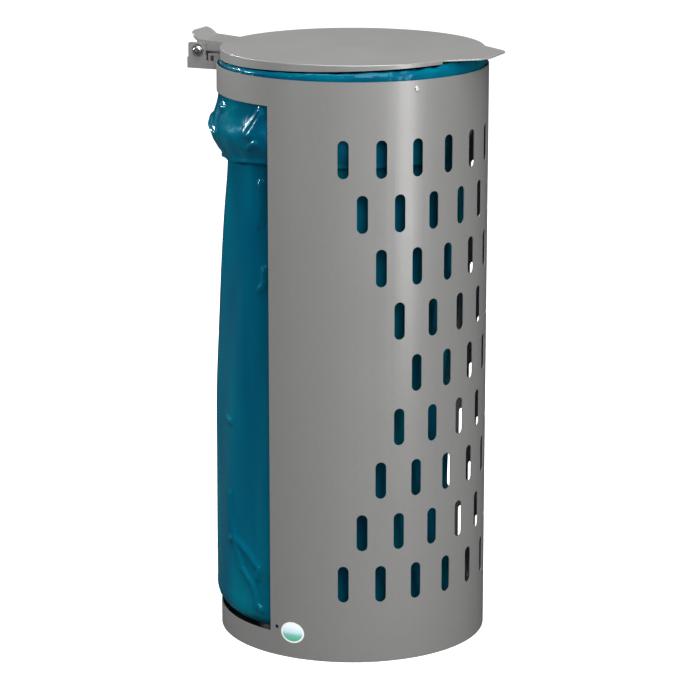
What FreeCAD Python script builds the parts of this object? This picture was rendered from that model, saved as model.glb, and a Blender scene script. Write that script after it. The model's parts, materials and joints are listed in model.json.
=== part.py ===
import FreeCAD, Part
import math
import os
import Sketcher

# A perforated waste bin: a rolled and slotted sheet mantle on a floor pan, open at the back,
# with a bag hung over a bar ring and a flat lid that hinges on a bracket behind the rim.
# Millimetres, +Z up, floor at z = 0, mantle axis on Z, lid tab towards -Y, hinge towards +Y.

Vector = FreeCAD.Vector
doc = FreeCAD.newDocument("perforated_bin")

# Rows of slots above and below the shortest row
SLOT_ROW_PAIRS = 4

# Driving sizes
SIZES = {
    # mantle
    "mantle_radius": 200,
    "mantle_sheet": 1,
    "mantle_height": 860,
    "window_bottom": 35,
    "window_below_rim": 40,
    "window_angle": 151.4,
    "slot_width": 16,
    "slot_length": 55,
    "slot_pitch_angle": 15.75,
    "slot_lowest_row": 120,
    "slot_highest_row_below_rim": 110.4,
    "slots_in_end_row": 10,
    "edge_hole_radius": 3,
    "edge_hole_height": 44,
    "edge_hole_angle": 101,
    # floor pan
    "pan_sheet": 1.2,
    "pan_flange_height": 34,
    "pan_fit_gap": 0.1,
    "pan_corner_radius": 3,
    "drain_hole_radius": 5,
    "drain_hole_place": 110,
    # bag ring and the two rests under its front
    "ring_bar_radius": 5,
    "ring_side_gap": 3.5,
    "ring_below_rim": 1,
    "seat_gap": 0.05,
    "rest_angle": 40,
    "rest_width": 20,
    "rest_sheet": 2,
    "rest_leg_height": 14,
    "rest_shelf_reach": 13,
    "rest_wall_gap": 0.35,
    "rivet_below_shelf": 6,
    "rivet_radius": 2,
    "rivet_hole_gap": 0.05,
    "rivet_head_radius": 3.6,
    "rivet_head_height": 1.2,
    "rivet_edge_radius": 0.8,
    # bag
    "film": 1,
    "film_gap": 0.3,
    "lip_leg": 9,
    "fold_count": 15,
    "fold_depth": 8,
    "rest_pocket_side_gap": 1.5,
    "rest_pocket_end_gap": 0.25,
    # lid
    "lid_inset": 5.8,
    "lid_rise": 23,
    "lid_sheet": 2,
    "lid_edge_radius": 1.2,
    "skirt_depth_back": 17,
    "skirt_depth_front": 4.5,
    "skirt_end_angle": 26,
    "tab_reach": 32,
    "tab_root_half": 80,
    "tab_front_half": 40,
    "tab_corner_radius": 28,
    "tab_blend_radius": 16,
    # lid arm
    "arm_sheet": 3,
    "arm_half_width": 33,
    "arm_under_lid": 75,
    "arm_rise_angle": 4.6,
    "arm_fold_past_pivot": 2.5,
    "arm_bend_radius": 2.4,
    "stop_length": 17,
    "stop_angle": 42,
    "stop_corner_radius": 14,
    "ear_gap": 4,
    "ear_below_pivot": 0.7,
    "ear_radius": 10,
    "arm_notch_gap": 1,
    # hinge
    "pivot_reach": 33.5,
    "pivot_rise": 8.7,
    "bolt_radius": 4,
    "bolt_hole_gap": 0.2,
    "spacer_radius": 6,
    "spacer_bore_gap": 0.05,
    "ear_bore_gap": 0.05,
    "bush_radius": 9,
    "bush_bore_gap": 0.1,
    "bush_sheet": 0.8,
    "bush_side_gap": 0.1,
    "washer_radius": 9,
    "washer_sheet": 1.6,
    "head_radius": 6.8,
    "head_height": 4.6,
    "head_edge_radius": 4,
    "nut_across_flats": 13,
    "nut_hex_height": 5,
    "nut_dome_radius": 5.6,
    "nut_dome_height": 4,
    "nut_edge_radius": 3.4,
    # bracket
    "bracket_sheet": 3,
    "bracket_rear_past_pivot": 16.5,
    "bracket_front_past_pivot": 11.5,
    "bracket_top_past_pivot": 10.8,
    "bracket_below_rim": 19,
    "bracket_above_rim": 1,
    "bracket_corner_radius": 3,
    "weld_gap": 0.05,
    "web_height": 16,
    "wall_hole_radius": 3.5,
    "wall_hole_spacing": 40,
    "notch_start": 8,
    "notch_end": 21,
    "notch_depth": 8,
    "hook_sheet": 3,
    "hook_gap": 0.3,
    "hook_leg_from_notch_end": 4,
}

# Sizes that follow from the driving ones
DERIVED = {
    "mantle_inner": "mantle_radius - mantle_sheet",
    "window_height": "mantle_height - window_below_rim - window_bottom",
    "slot_row_pitch": "(mantle_height - slot_highest_row_below_rim - slot_lowest_row) / %d"
                      % (2 * SLOT_ROW_PAIRS),
    "pan_radius": "mantle_inner - pan_fit_gap",
    "ring_radius": "mantle_inner - ring_side_gap - ring_bar_radius",
    "ring_height": "mantle_height - ring_below_rim",
    "shelf_top": "ring_height - ring_bar_radius - seat_gap",
    "rest_wall": "mantle_inner - rest_wall_gap",
    "rivet_height": "shelf_top - rivet_below_shelf",
    "lip_bottom": "ring_height - lip_leg",
    "lip_inside": "ring_bar_radius + film_gap",
    "lip_outside": "lip_inside + film",
    "lid_radius": "mantle_radius - lid_inset",
    "lid_top": "mantle_height + lid_rise",
    "lid_under": "lid_top - lid_sheet",
    "skirt_bottom": "lid_top - skirt_depth_back",
    "pivot_back": "mantle_radius + pivot_reach",
    "pivot_height": "mantle_height + pivot_rise",
    "arm_kink": "lid_radius + lid_sheet / 2",
    "arm_fold": "pivot_back + arm_fold_past_pivot",
    "arm_fold_height": "lid_under + tan(arm_rise_angle) * (arm_fold - arm_kink)",
    "cheek_inner": "arm_half_width + bush_sheet + 2 * bush_side_gap",
    "cheek_outer": "cheek_inner + bracket_sheet",
    "bracket_rear": "pivot_back + bracket_rear_past_pivot",
    "bracket_bottom": "mantle_height - bracket_below_rim",
    "bracket_low_top": "mantle_height + bracket_above_rim",
    "notch_bottom": "bracket_low_top - notch_depth",
    "hook_under": "bracket_low_top + hook_gap",
    "hook_back": "mantle_radius + notch_end - hook_leg_from_notch_end",
}

sizes = doc.addObject("Spreadsheet::Sheet", "Sizes")
for row, (name, value) in enumerate(SIZES.items(), start=1):
    sizes.set("A%d" % row, name.replace("_", " "))
    sizes.set("B%d" % row, str(value))
    sizes.setAlias("B%d" % row, name)
for row, (name, formula) in enumerate(DERIVED.items(), start=len(SIZES) + 2):
    sizes.set("A%d" % row, name.replace("_", " "))
    sizes.set("B%d" % row, "=" + formula)
    sizes.setAlias("B%d" % row, name)
doc.recompute()


def size(name):
    """The present value of one cell of the sheet."""
    return float(sizes.get(name))


# Sketches and features

def body(label):
    """A body whose label is the name of its sub-part."""
    made = doc.addObject("PartDesign::Body", label)
    made.Label = label
    return made


def origin_feature(owner, role):
    return next(item for item in owner.Origin.OriginFeatures if item.Role == role)


def sketch_on(owner, role, name, offset=None, turn=None):
    """A sketch on an origin plane, moved along its normal and turned about its own y axis."""
    sketch = owner.newObject("Sketcher::SketchObject", name)
    sketch.AttachmentSupport = [(origin_feature(owner, role), "")]
    sketch.MapMode = "FlatFace"
    if offset:
        sketch.setExpression("AttachmentOffset.Base.z", offset)
    if turn:
        sketch.AttachmentOffset = FreeCAD.Placement(Vector(), FreeCAD.Rotation(Vector(0, 1, 0), 1))
        sketch.setExpression("AttachmentOffset.Rotation.Angle", turn)
    return sketch


def fix(sketch, kind, geometry, point, value, formula):
    """Holds one coordinate of a point, from the sketch's origin, to a formula of the sheet."""
    constraint = Sketcher.Constraint(kind, -1, 1, geometry, point, value)
    index = sketch.addConstraint(constraint)
    sketch.setExpression("Constraints[%d]" % index, formula)


def polygon(sketch, corners):
    """A closed outline; each corner is a pair of formulas."""
    count = len(corners)
    first = sketch.GeometryCount
    start = [Vector(math.cos(2 * math.pi * i / count), math.sin(2 * math.pi * i / count), 0)
             for i in range(count)]
    for i in range(count):
        sketch.addGeometry(Part.LineSegment(start[i], start[(i + 1) % count]))
    for i in range(count):
        sketch.addConstraint(Sketcher.Constraint("Coincident", first + i, 2, first + (i + 1) % count, 1))
    for i, (across, up) in enumerate(corners):
        fix(sketch, "DistanceX", first + i, 1, start[i].x, across)
        fix(sketch, "DistanceY", first + i, 1, start[i].y, up)


def circle(sketch, radius, across="0", up="0"):
    """A circle whose radius and centre are formulas."""
    index = sketch.addGeometry(Part.Circle(Vector(), Vector(0, 0, 1), 1))
    limit = sketch.addConstraint(Sketcher.Constraint("Radius", index, 1))
    sketch.setExpression("Constraints[%d]" % limit, radius)
    fix(sketch, "DistanceX", index, 3, 0, across)
    fix(sketch, "DistanceY", index, 3, 0, up)


def half_round(sketch, radius, across, up, lower=False):
    """Half a circle, its ends level with its centre; returns its place in the sketch."""
    values = [float(sketch.evalExpression(formula)) for formula in (radius, across, up)]
    whole = Part.Circle(Vector(values[1], values[2], 0), Vector(0, 0, 1), values[0])
    first = math.pi if lower else 0
    index = sketch.addGeometry(Part.ArcOfCircle(whole, first, first + math.pi))
    limit = sketch.addConstraint(Sketcher.Constraint("Radius", index, values[0]))
    sketch.setExpression("Constraints[%d]" % limit, radius)
    fix(sketch, "DistanceX", index, 3, values[1], across)
    for point in (3, 1, 2):
        fix(sketch, "DistanceY", index, point, values[2], up)
    return index


def joining_line(sketch, start, end):
    """A line between two points that other lines and arcs already fix."""
    ends = [sketch.getPoint(*point) for point in (start, end)]
    index = sketch.addGeometry(Part.LineSegment(*ends))
    sketch.addConstraint(Sketcher.Constraint("Coincident", index, 1, *start))
    sketch.addConstraint(Sketcher.Constraint("Coincident", index, 2, *end))


def upright_slot(sketch, row):
    """An obround opening that stands on its end on the sketch's y axis, at one row's height."""
    middle = "Sizes.slot_lowest_row + Sizes.slot_row_pitch * %d" % row
    reach = "(Sizes.slot_length - Sizes.slot_width) / 2"
    top = half_round(sketch, "Sizes.slot_width / 2", "0", "%s + %s" % (middle, reach))
    low = half_round(sketch, "Sizes.slot_width / 2", "0", "%s - %s" % (middle, reach), lower=True)
    joining_line(sketch, (top, 2), (low, 1))
    joining_line(sketch, (low, 2), (top, 1))


def pad(owner, sketch, length, both_ways=False, back=False):
    feature = owner.newObject("PartDesign::Pad", sketch.Name + "_pad")
    feature.Profile = sketch
    feature.setExpression("Length", length)
    if both_ways:
        feature.SideType = "Symmetric"
    feature.Reversed = back
    sketch.Visibility = False
    return feature


def pocket(owner, sketch, length, both_ways=False, along_normal=False):
    feature = owner.newObject("PartDesign::Pocket", sketch.Name + "_cut")
    feature.Profile = sketch
    feature.setExpression("Length", length)
    if both_ways:
        feature.SideType = "Symmetric"
    feature.Reversed = along_normal
    sketch.Visibility = False
    return feature


def polar(owner, feature, angle, count):
    """Repeats a feature about Z over an angle, first and last included."""
    pattern = owner.newObject("PartDesign::PolarPattern", feature.Name + "_round")
    pattern.Originals = [feature]
    pattern.Axis = (origin_feature(owner, "Z_Axis"), [""])
    pattern.setExpression("Angle", angle)
    pattern.setExpression("Occurrences", count)
    owner.Tip = pattern
    return pattern


def mirrored(owner, features, role="YZ_Plane"):
    mirror = owner.newObject("PartDesign::Mirrored", features[-1].Name + "_mirror")
    mirror.Originals = features
    mirror.MirrorPlane = (origin_feature(owner, role), [""])
    owner.Tip = mirror
    return mirror


def edges_where(shape, test):
    """Names of the edges whose two ends and middle all pass a test."""
    names = []
    for index, edge in enumerate(shape.Edges, start=1):
        middle = edge.valueAt((edge.FirstParameter + edge.LastParameter) / 2)
        points = [vertex.Point for vertex in edge.Vertexes] + [middle]
        if all(test(point) for point in points):
            names.append("Edge%d" % index)
    return names


def fillet(owner, base, test, radius):
    """Rounds the edges that pass a test; the base has to be computed first."""
    doc.recompute()
    feature = owner.newObject("PartDesign::Fillet", base.Name + "_round")
    feature.Base = (base, edges_where(base.Shape, test))
    feature.setExpression("Radius", radius)
    return feature


def near(value, target, within=0.01):
    return abs(value - target) < within


# Mantle: a rolled sheet with rows of upright slots and a window at the back

def make_mantle():
    part = body("mantle")
    wall = sketch_on(part, "XY_Plane", "mantle_wall")
    circle(wall, "Sizes.mantle_radius")
    circle(wall, "Sizes.mantle_inner")
    pad(part, wall, "Sizes.mantle_height")

    window = sketch_on(part, "XY_Plane", "mantle_window", offset="Sizes.window_bottom")
    side = "2 * Sizes.mantle_radius * sin(Sizes.window_angle / 2)"
    sill = "2 * Sizes.mantle_radius * cos(Sizes.window_angle / 2)"
    past = "2 * Sizes.mantle_radius"
    polygon(window, [("0", "0"), (side, sill), (side, past), ("-" + side, past), ("-" + side, sill)])
    pocket(part, window, "Sizes.window_height", along_normal=True)

    for step in range(SLOT_ROW_PAIRS + 1):
        count = "(Sizes.slots_in_end_row - %d)" % step
        spread = "Sizes.slot_pitch_angle * (%s - 1)" % count
        rows = sketch_on(part, "XZ_Plane", "slot_rows_%d" % (step + 1), turn="-(%s) / 2" % spread)
        upright_slot(rows, step)
        if step < SLOT_ROW_PAIRS:
            upright_slot(rows, 2 * SLOT_ROW_PAIRS - step)
        opening = pocket(part, rows, "Sizes.mantle_radius + 1", along_normal=True)
        polar(part, opening, spread, count)

    for name, radius, place, angle in (
            ("edge_hole", "Sizes.edge_hole_radius", "Sizes.edge_hole_height", "Sizes.edge_hole_angle"),
            ("rest_hole", "Sizes.rivet_radius + Sizes.rivet_hole_gap", "Sizes.rivet_height",
             "Sizes.rest_angle")):
        hole = sketch_on(part, "XZ_Plane", name, turn="-" + angle)
        circle(hole, radius, "0", place)
        polar(part, pocket(part, hole, "Sizes.mantle_radius + 1", along_normal=True), "2 * " + angle, "2")


# Floor pan: a pressed dish with drain holes, welded inside the foot of the mantle

def make_floor_pan():
    part = body("floor_pan")
    disc = sketch_on(part, "XY_Plane", "pan_disc")
    circle(disc, "Sizes.pan_radius")
    blank = pad(part, disc, "Sizes.pan_flange_height")
    fillet(part, blank, lambda p: near(p.z, 0), "Sizes.pan_corner_radius")
    dish = sketch_on(part, "XY_Plane", "pan_dish", offset="Sizes.pan_flange_height")
    circle(dish, "Sizes.pan_radius - Sizes.pan_sheet")
    hollow = pocket(part, dish, "Sizes.pan_flange_height - Sizes.pan_sheet")
    inner = size("pan_radius") - size("pan_sheet")
    fillet(part, hollow,
           lambda p: near(p.z, size("pan_sheet")) and near(math.hypot(p.x, p.y), inner),
           "Sizes.pan_corner_radius - Sizes.pan_sheet")
    drain = sketch_on(part, "XY_Plane", "pan_drain", offset="Sizes.pan_sheet")
    circle(drain, "Sizes.drain_hole_radius", "Sizes.drain_hole_place")
    polar(part, pocket(part, drain, "2 * Sizes.pan_sheet"), "360", "4")


# Bag ring: a round bar hoop with two flat hooks that drop into notches of the bracket

def make_bag_ring():
    part = body("bag_ring")
    bar = sketch_on(part, "XZ_Plane", "ring_bar")
    circle(bar, "Sizes.ring_bar_radius", "Sizes.ring_radius", "Sizes.ring_height")
    hoop = part.newObject("PartDesign::Revolution", "ring_hoop")
    hoop.Profile = bar
    hoop.ReferenceAxis = (origin_feature(part, "Z_Axis"), [""])
    hoop.Angle = 360
    hook = sketch_on(part, "YZ_Plane", "ring_hook", offset="Sizes.cheek_inner")
    start = "sqrt(Sizes.ring_radius ^ 2 - Sizes.cheek_outer ^ 2)"
    top = "Sizes.hook_under + Sizes.hook_sheet"
    leg = "Sizes.hook_back - Sizes.hook_sheet"
    foot = "Sizes.notch_bottom + Sizes.seat_gap"
    polygon(hook, [(start, "Sizes.hook_under"), (leg, "Sizes.hook_under"), (leg, foot),
                   ("Sizes.hook_back", foot), ("Sizes.hook_back", top), (start, top)])
    mirrored(part, [pad(part, hook, "Sizes.bracket_sheet")])


# Ring rests: two small angles riveted inside the rim, one each side of the front

def make_ring_rest(side, sign):
    part = body("ring_rest_" + side)
    angle = sketch_on(part, "YZ_Plane", "rest_angle_" + side)
    wall = "-Sizes.rest_wall"
    low = "Sizes.shelf_top - Sizes.rest_leg_height"
    under = "Sizes.shelf_top - Sizes.rest_sheet"
    leg = wall + " + Sizes.rest_sheet"
    tip = wall + " + Sizes.rest_shelf_reach"
    polygon(angle, [(wall, low), (leg, low), (leg, under), (tip, under),
                    (tip, "Sizes.shelf_top"), (wall, "Sizes.shelf_top")])
    pad(part, angle, "Sizes.rest_width", both_ways=True)
    hole = sketch_on(part, "XZ_Plane", "rest_bore_" + side)
    circle(hole, "Sizes.rivet_radius + Sizes.rivet_hole_gap", "0", "Sizes.rivet_height")
    pocket(part, hole, "Sizes.mantle_radius", along_normal=True)
    turn_about_z(part, sign)


def make_rest_rivet(side, sign):
    part = body("ring_rest_rivet_" + side)
    inner_face = "Sizes.rest_wall - Sizes.rest_sheet"
    shank = sketch_on(part, "XZ_Plane", "rivet_shank_" + side, offset=inner_face)
    circle(shank, "Sizes.rivet_radius", "0", "Sizes.rivet_height")
    pad(part, shank, "Sizes.mantle_radius - (%s)" % inner_face)
    head = sketch_on(part, "XZ_Plane", "rivet_head_" + side, offset="Sizes.mantle_radius")
    circle(head, "Sizes.rivet_head_radius", "0", "Sizes.rivet_height")
    outside = pad(part, head, "Sizes.rivet_head_height")
    crown = -size("mantle_radius") - size("rivet_head_height")
    fillet(part, outside, lambda p: near(p.y, crown), "Sizes.rivet_edge_radius")
    tail = sketch_on(part, "XZ_Plane", "rivet_tail_" + side, offset=inner_face)
    circle(tail, "Sizes.rivet_head_radius", "0", "Sizes.rivet_height")
    pad(part, tail, "Sizes.rivet_head_height", back=True)
    turn_about_z(part, sign)


def turn_about_z(part, sign):
    part.Placement = FreeCAD.Placement(Vector(), FreeCAD.Rotation(Vector(0, 0, 1), 1))
    part.setExpression("Placement.Rotation.Angle", "%d * Sizes.rest_angle" % sign)


# Lid: a flat disc with a tab at the front and a skirt that deepens towards the hinge

def make_lid():
    part = body("lid")
    disc = sketch_on(part, "XY_Plane", "lid_disc", offset="Sizes.lid_under")
    circle(disc, "Sizes.lid_radius")
    pad(part, disc, "Sizes.lid_sheet")
    tab = sketch_on(part, "XY_Plane", "lid_tab", offset="Sizes.lid_under")
    root = "-sqrt(Sizes.lid_radius ^ 2 - Sizes.tab_root_half ^ 2)"
    front = "-(Sizes.lid_radius + Sizes.tab_reach)"
    polygon(tab, [("-Sizes.tab_root_half", root), ("-Sizes.tab_front_half", front),
                  ("Sizes.tab_front_half", front), ("Sizes.tab_root_half", root)])
    plate = pad(part, tab, "Sizes.lid_sheet")
    reach = size("lid_radius") + size("tab_reach")
    nose = fillet(part, plate, lambda p: near(p.y, -reach) and near(abs(p.x), size("tab_front_half")),
                  "Sizes.tab_corner_radius")
    fillet(part, nose, lambda p: near(abs(p.x), size("tab_root_half")), "Sizes.tab_blend_radius")

    skirt = sketch_on(part, "XY_Plane", "lid_skirt", offset="Sizes.skirt_bottom")
    circle(skirt, "Sizes.lid_radius")
    circle(skirt, "Sizes.lid_radius - Sizes.lid_sheet")
    pad(part, skirt, "Sizes.skirt_depth_back - Sizes.lid_sheet")
    slope = sketch_on(part, "YZ_Plane", "skirt_slope")
    below = "Sizes.skirt_bottom - Sizes.skirt_depth_back"
    polygon(slope, [("-Sizes.lid_radius", below), ("Sizes.lid_radius", below),
                    ("Sizes.lid_radius", "Sizes.skirt_bottom"),
                    ("-Sizes.lid_radius", "Sizes.lid_top - Sizes.skirt_depth_front")])
    pocket(part, slope, "2 * Sizes.mantle_radius", both_ways=True)
    gap = sketch_on(part, "XY_Plane", "skirt_front_gap", offset="Sizes.skirt_bottom")
    wide = "2 * Sizes.lid_radius * sin(Sizes.skirt_end_angle)"
    far = "-2 * Sizes.lid_radius * cos(Sizes.skirt_end_angle)"
    polygon(gap, [("0", "0"), ("-" + wide, far), (wide, far)])
    pocket(part, gap, "Sizes.skirt_depth_back - Sizes.lid_sheet", along_normal=True)
    notch = sketch_on(part, "XY_Plane", "skirt_arm_notch", offset="Sizes.skirt_bottom")
    half = "Sizes.arm_half_width + Sizes.arm_notch_gap"
    polygon(notch, [("-(%s)" % half, "0"), (half, "0"), (half, "Sizes.mantle_radius"),
                    ("-(%s)" % half, "Sizes.mantle_radius")])
    opened = pocket(part, notch, "Sizes.skirt_depth_back - Sizes.lid_sheet", along_normal=True)
    fillet(part, opened, lambda p: near(p.z, size("lid_top")), "Sizes.lid_edge_radius")


# Lid arm: one bent plate under the lid, with two ears on the pivot and a turned-up stop

def make_lid_arm():
    part = body("lid_arm")
    profile = sketch_on(part, "YZ_Plane", "arm_profile")
    start = "Sizes.lid_radius - Sizes.arm_under_lid"
    under = "Sizes.lid_under - Sizes.arm_sheet"
    half_turn = "(Sizes.stop_angle - Sizes.arm_rise_angle) / 2"
    mean = "(Sizes.stop_angle + Sizes.arm_rise_angle) / 2"
    tip = "Sizes.arm_fold + Sizes.stop_length * cos(Sizes.stop_angle)"
    tip_height = "Sizes.arm_fold_height + Sizes.stop_length * sin(Sizes.stop_angle)"
    polygon(profile, [
        (start, "Sizes.lid_under"),
        (start, under),
        ("Sizes.arm_kink", under),
        ("Sizes.arm_fold + Sizes.arm_sheet * sin(%s) / cos(%s)" % (mean, half_turn),
         "Sizes.arm_fold_height - Sizes.arm_sheet * cos(%s) / cos(%s)" % (mean, half_turn)),
        (tip + " + Sizes.arm_sheet * sin(Sizes.stop_angle)",
         tip_height + " - Sizes.arm_sheet * cos(Sizes.stop_angle)"),
        (tip, tip_height),
        ("Sizes.arm_fold", "Sizes.arm_fold_height"),
        ("Sizes.arm_kink", "Sizes.lid_under")])
    plate = pad(part, profile, "2 * Sizes.arm_half_width", both_ways=True)
    fold, half = size("arm_fold"), size("arm_half_width")
    stop_end = fold + size("stop_length") * math.cos(math.radians(size("stop_angle")))
    inside = fillet(part, plate, lambda p: near(p.y, fold), "Sizes.arm_bend_radius")
    outside = fillet(part, inside, lambda p: fold + 1 < p.y < stop_end - 5,
                     "Sizes.arm_bend_radius + Sizes.arm_sheet")
    fillet(part, outside, lambda p: near(abs(p.x), half) and p.y > stop_end - 0.01,
           "Sizes.stop_corner_radius")

    ear = sketch_on(part, "YZ_Plane", "arm_ear", offset="Sizes.arm_half_width - Sizes.arm_sheet")
    ear_start = "Sizes.lid_radius + Sizes.ear_gap"
    ear_low = "Sizes.pivot_height - Sizes.ear_below_pivot"
    polygon(ear, [
        (ear_start, "Sizes.lid_under - Sizes.arm_sheet / 2"),
        (ear_start, ear_low),
        ("Sizes.pivot_back", ear_low),
        ("Sizes.pivot_back + Sizes.ear_radius", "Sizes.pivot_height"),
        ("Sizes.arm_fold", "Sizes.arm_fold_height - Sizes.arm_sheet / 2")])
    cheek = pad(part, ear, "Sizes.arm_sheet")
    eye = sketch_on(part, "YZ_Plane", "arm_eye", offset="Sizes.arm_half_width - Sizes.arm_sheet")
    circle(eye, "Sizes.ear_radius", "Sizes.pivot_back", "Sizes.pivot_height")
    mirrored(part, [cheek, pad(part, eye, "Sizes.arm_sheet")])
    bore = sketch_on(part, "YZ_Plane", "arm_bore")
    circle(bore, "Sizes.spacer_radius + Sizes.ear_bore_gap", "Sizes.pivot_back", "Sizes.pivot_height")
    pocket(part, bore, "4 * Sizes.arm_half_width", both_ways=True)


# Hinge bracket: a U of sheet whose cheeks are welded to the mantle and whose web goes to a wall

def make_hinge_bracket():
    part = body("hinge_bracket")
    web = sketch_on(part, "XY_Plane", "bracket_web", offset="Sizes.bracket_bottom")
    rear = "Sizes.bracket_rear + Sizes.bracket_sheet"
    polygon(web, [("-Sizes.cheek_outer", "Sizes.bracket_rear"), ("Sizes.cheek_outer", "Sizes.bracket_rear"),
                  ("Sizes.cheek_outer", rear), ("-Sizes.cheek_outer", rear)])
    plate = pad(part, web, "Sizes.web_height")
    back = size("bracket_rear") + size("bracket_sheet")
    fillet(part, plate, lambda p: near(p.y, back) and near(abs(p.x), size("cheek_outer")),
           "Sizes.bracket_corner_radius - 0.1")

    cheek = sketch_on(part, "YZ_Plane", "bracket_cheek", offset="Sizes.cheek_inner")
    start = "Sizes.mantle_radius - Sizes.bracket_below_rim"
    top = "Sizes.pivot_height + Sizes.bracket_top_past_pivot"
    shoulder = "Sizes.pivot_back - Sizes.bracket_front_past_pivot"
    notch_start = "Sizes.mantle_radius + Sizes.notch_start"
    notch_end = "Sizes.mantle_radius + Sizes.notch_end"
    polygon(cheek, [
        (start, "Sizes.bracket_bottom"), ("Sizes.bracket_rear", "Sizes.bracket_bottom"),
        ("Sizes.bracket_rear", top), (shoulder, top), (shoulder, "Sizes.bracket_low_top"),
        (notch_end, "Sizes.bracket_low_top"), (notch_end, "Sizes.notch_bottom"),
        (notch_start, "Sizes.notch_bottom"), (notch_start, "Sizes.bracket_low_top"),
        (start, "Sizes.bracket_low_top")])
    sides = mirrored(part, [pad(part, cheek, "Sizes.bracket_sheet")])
    crest = size("pivot_height") + size("bracket_top_past_pivot")
    fillet(part, sides, lambda p: near(p.y, size("bracket_rear")) and near(p.z, crest),
           "Sizes.bracket_corner_radius")
    saddle = sketch_on(part, "XY_Plane", "bracket_saddle", offset="Sizes.bracket_bottom")
    circle(saddle, "Sizes.mantle_radius + Sizes.weld_gap")
    pocket(part, saddle, "2 * Sizes.bracket_below_rim", along_normal=True)
    bore = sketch_on(part, "YZ_Plane", "bracket_bore")
    circle(bore, "Sizes.bolt_radius + Sizes.bolt_hole_gap", "Sizes.pivot_back", "Sizes.pivot_height")
    pocket(part, bore, "4 * Sizes.cheek_outer", both_ways=True)
    holes = sketch_on(part, "XZ_Plane", "bracket_wall_holes")
    middle = "Sizes.bracket_bottom + Sizes.web_height / 2"
    for side in ("-", ""):
        circle(holes, "Sizes.wall_hole_radius", side + "Sizes.wall_hole_spacing / 2", middle)
    pocket(part, holes, "2 * Sizes.mantle_radius")


# Hinge pin: a bolt through both cheeks clamps a spacer tube, and the lid arm turns on the tube

def pivot_disc(part, name, radius, start, length, back=False):
    """A round of material about the pivot, from a distance along X."""
    ring = sketch_on(part, "YZ_Plane", name, offset=start)
    circle(ring, radius, "Sizes.pivot_back", "Sizes.pivot_height")
    return pad(part, ring, length, back=back)


def pivot_ring(label, outer, inner, start, length, both_ways=False, back=False):
    """A flat ring or tube about the pivot."""
    part = body(label)
    ring = sketch_on(part, "YZ_Plane", label + "_section", offset=start)
    circle(ring, outer, "Sizes.pivot_back", "Sizes.pivot_height")
    circle(ring, inner, "Sizes.pivot_back", "Sizes.pivot_height")
    pad(part, ring, length, both_ways=both_ways, back=back)


def make_hinge_rings():
    pivot_ring("hinge_spacer", "Sizes.spacer_radius", "Sizes.bolt_radius + Sizes.spacer_bore_gap",
               "0", "2 * Sizes.cheek_inner", both_ways=True)
    for side, sign in (("left", "-"), ("right", "")):
        back = sign == "-"
        pivot_ring("hinge_bush_" + side, "Sizes.bush_radius", "Sizes.spacer_radius + Sizes.bush_bore_gap",
                   sign + "(Sizes.arm_half_width + Sizes.bush_side_gap)", "Sizes.bush_sheet", back=back)
        pivot_ring("hinge_washer_" + side, "Sizes.washer_radius", "Sizes.bolt_radius + Sizes.bolt_hole_gap",
                   sign + "Sizes.cheek_outer", "Sizes.washer_sheet", back=back)


def make_hinge_bolt():
    part = body("hinge_bolt")
    seat = "(Sizes.cheek_outer + Sizes.washer_sheet)"
    head = pivot_disc(part, "bolt_head", "Sizes.head_radius", "-" + seat, "Sizes.head_height", back=True)
    crown = -size("cheek_outer") - size("washer_sheet") - size("head_height")
    fillet(part, head, lambda p: near(p.x, crown), "Sizes.head_edge_radius")
    pivot_disc(part, "bolt_shank", "Sizes.bolt_radius", "-" + seat,
               "2 * %s + Sizes.nut_hex_height" % seat)


def make_cap_nut():
    part = body("hinge_cap_nut")
    seat = "Sizes.cheek_outer + Sizes.washer_sheet"
    hexagon = sketch_on(part, "YZ_Plane", "nut_hexagon", offset=seat)
    corner = "Sizes.nut_across_flats / 2 / cos(30)"
    polygon(hexagon, [("Sizes.pivot_back + %s * cos(%d)" % (corner, 60 * i),
                       "Sizes.pivot_height + %s * sin(%d)" % (corner, 60 * i)) for i in range(6)])
    pad(part, hexagon, "Sizes.nut_hex_height")
    dome = pivot_disc(part, "nut_dome", "Sizes.nut_dome_radius", seat + " + Sizes.nut_hex_height",
                      "Sizes.nut_dome_height")
    crown = (size("cheek_outer") + size("washer_sheet") + size("nut_hex_height")
             + size("nut_dome_height"))
    fillet(part, dome, lambda p: near(p.x, crown), "Sizes.nut_edge_radius")
    bore = sketch_on(part, "YZ_Plane", "nut_bore", offset=seat)
    circle(bore, "Sizes.bolt_radius + Sizes.spacer_bore_gap", "Sizes.pivot_back", "Sizes.pivot_height")
    pocket(part, bore, "Sizes.nut_hex_height + Sizes.spacer_bore_gap", along_normal=True)


# Bag: a film that hangs inside, passes over the ring and ends in a loose cuff outside it.
# Each level is a ring: its height as a share of the mantle's height, its radius and the lean of
# its centre towards the window as shares of the mantle's radius, and its share of the fold depth.

BODY_LEVELS = (
    (0.9535, 0.915, 0.005, 0),
    (0.8663, 0.890, 0.045, 0.8),
    (0.7558, 0.915, 0.055, 1),
    (0.6663, 0.9325, 0.0675, 1),
    (0.5407, 0.950, 0.0775, 1),
    (0.4, 0.9625, 0.0825, 1),
    (0.17, 0.9625, 0.0825, 0.9),
    (0.09, 0.958, 0.081, 0.7),
    (0.057, 0.925, 0.065, 0.5),
    (0.0395, 0.860, 0.050, 0.3),
    (0.029, 0.750, 0.040, 0.1),
)
CUFF_LEVELS = (
    (0.9535, 0.9825, 0.010, 0),
    (0.9186, 0.9775, 0.050, 0.25),
    (0.8663, 0.970, 0.0875, 0.35),
    (0.8407, 0.950, 0.070, 0.35),
)
CORNERS_PER_FOLD = 6
LIP_STEPS = 8


def fold_count():
    return round(size("fold_count"))


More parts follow.
